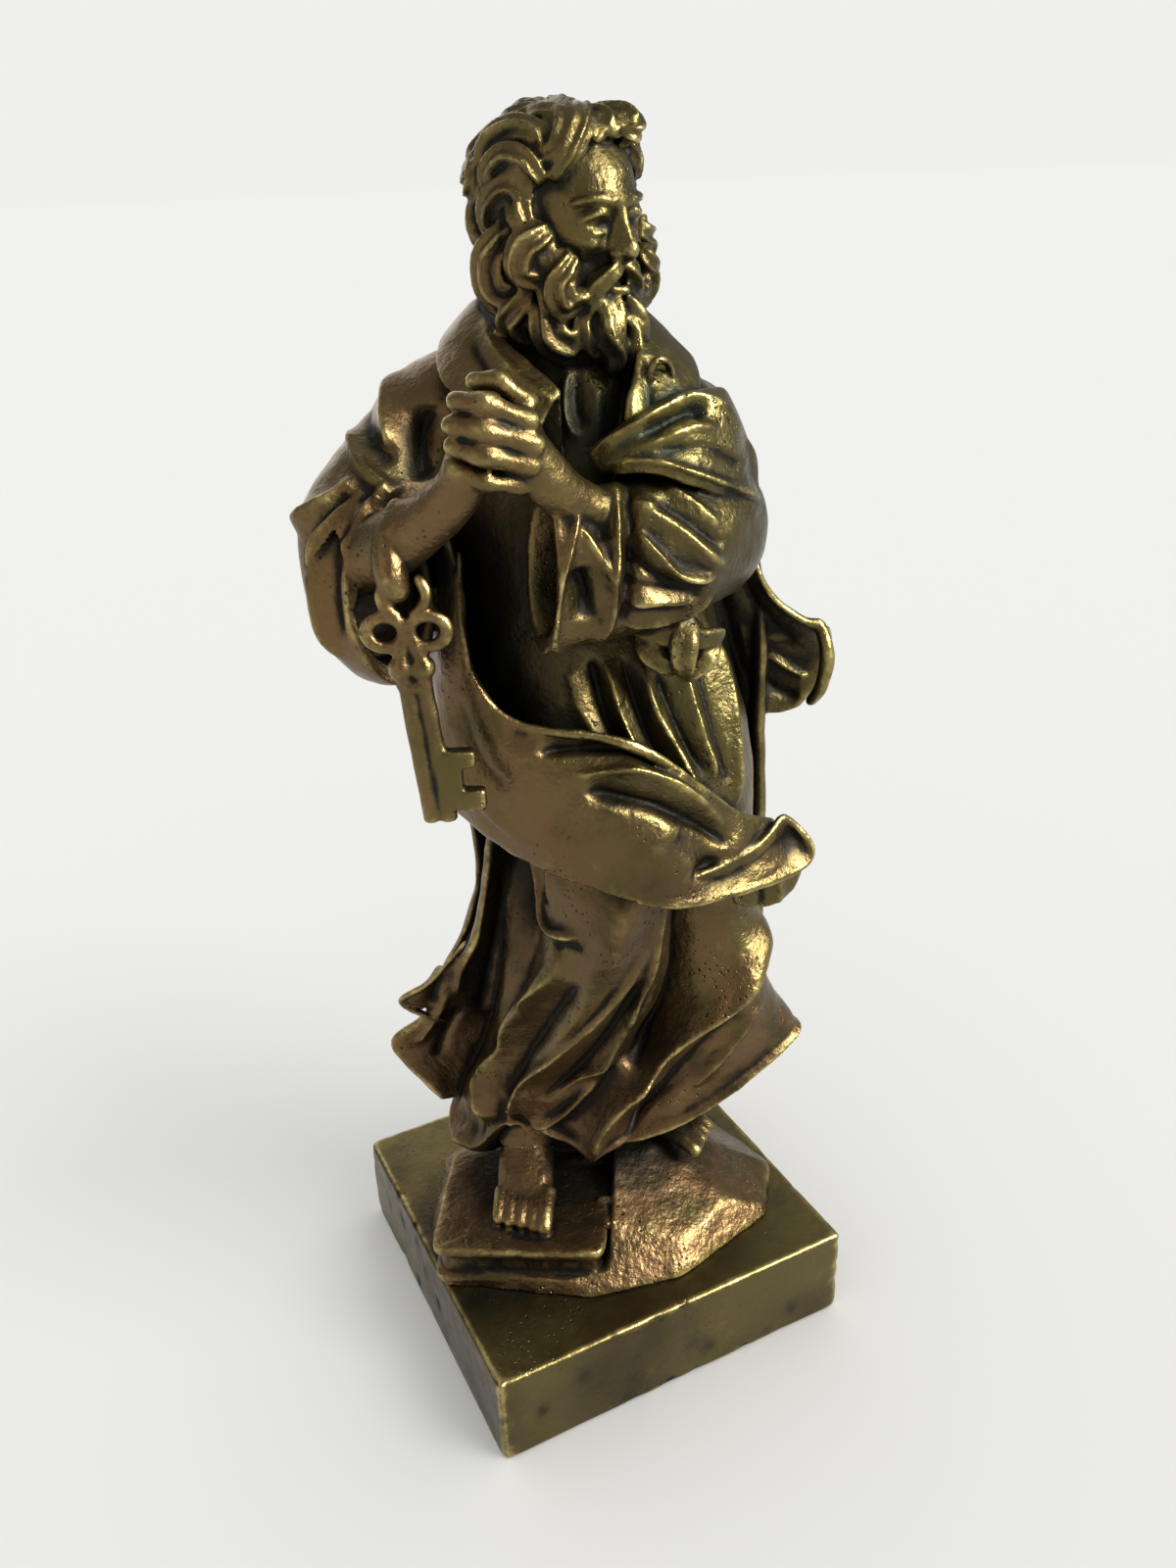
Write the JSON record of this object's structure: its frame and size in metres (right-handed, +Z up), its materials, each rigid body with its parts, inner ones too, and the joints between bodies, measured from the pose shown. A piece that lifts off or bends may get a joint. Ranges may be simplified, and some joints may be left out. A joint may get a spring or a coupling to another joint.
{
  "type": "bronze saint statuette",
  "caption": "Small cast bronze statuette of a robed, bearded saint with clasped hands, a key hanging at the wrist, one foot on a closed book, on a rock and a square plinth.",
  "frame": {"origin": "centre of the plinth's flat underside", "axes": "Z up through the figure; -Y is the plinth's front side, X runs along its width; the figure is turned 26 degrees clockwise on the plinth"},
  "size_m": [0.078, 0.064, 0.1977],
  "materials": {
    "figure_bronze": "dark brown-olive patina, rubbed golden on the ridges",
    "plinth_bronze": "olive patina with worn bright edges"
  },
  "bodies": {
    "root": {"figure": "figure_bronze", "plinth": "plinth_bronze"}
  },
  "joints": []
}
